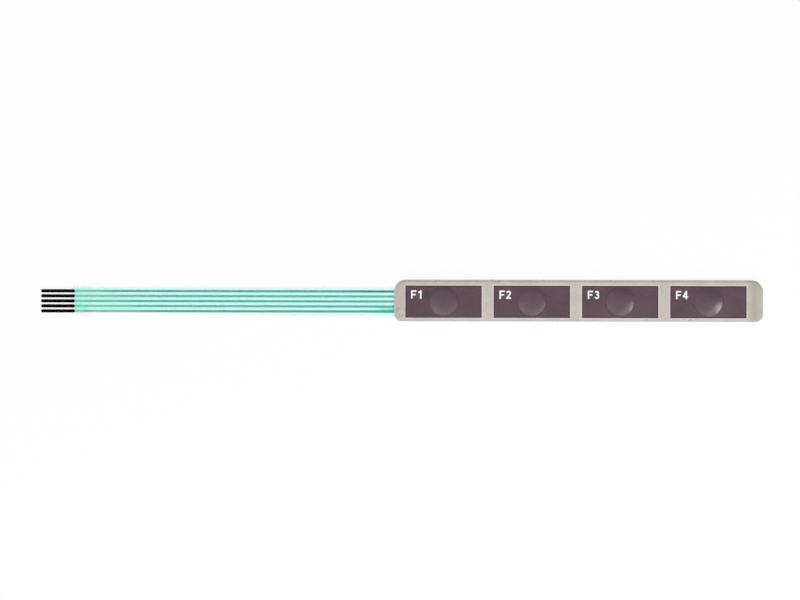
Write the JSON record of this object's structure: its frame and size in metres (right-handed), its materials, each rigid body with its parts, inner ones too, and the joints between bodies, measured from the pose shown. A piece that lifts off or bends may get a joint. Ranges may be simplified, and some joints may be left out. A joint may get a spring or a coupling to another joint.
{
  "type": "membrane keypad",
  "caption": "Slim membrane keypad strip with embossed snap-dome keys on a laminated film switch, and a flat film tail with printed contacts.",
  "frame": {"origin": "centre of the keypad strip's rear face, on the underside of the release liner", "axes": "+X along the strip, away from the tail; +Y across it, towards the upper edge of the face; +Z out of the face"},
  "size_m": [0.1804, 0.0104, 0.0014],
  "materials": {
    "clear_face_film": "satin",
    "grey_ink": "matte",
    "dark_ink": "matte",
    "clear_adhesive": "satin",
    "milky_film": "satin",
    "spring_steel": "satin",
    "green_coat": "gloss",
    "silver_print": "satin",
    "carbon_print": "matte",
    "clear_film": "gloss",
    "stiffener_film": "satin",
    "liner_paper": "matte"
  },
  "bodies": {
    "root": {"graphic_overlay": "clear_face_film", "border_print": "grey_ink", "key_print_1": "dark_ink", "key_print_2": "dark_ink", "key_print_3": "dark_ink", "key_print_4": "dark_ink", "overlay_adhesive": "clear_adhesive", "circuit_adhesive": "clear_adhesive", "rear_adhesive": "clear_adhesive", "dome_retainer": "milky_film", "dome_spacer": "milky_film", "snap_dome_1": "spring_steel", "snap_dome_2": "spring_steel", "snap_dome_3": "spring_steel", "snap_dome_4": "spring_steel", "insulating_coat": "green_coat", "common_line": "silver_print", "key_line_1": "silver_print", "key_line_2": "silver_print", "key_line_3": "silver_print", "key_line_4": "silver_print", "contact_finger_1": "carbon_print", "contact_finger_2": "carbon_print", "contact_finger_3": "carbon_print", "contact_finger_4": "carbon_print", "contact_finger_5": "carbon_print", "circuit_film": "clear_film", "tail_stiffener": "stiffener_film", "release_liner": "liner_paper"}
  },
  "joints": []
}
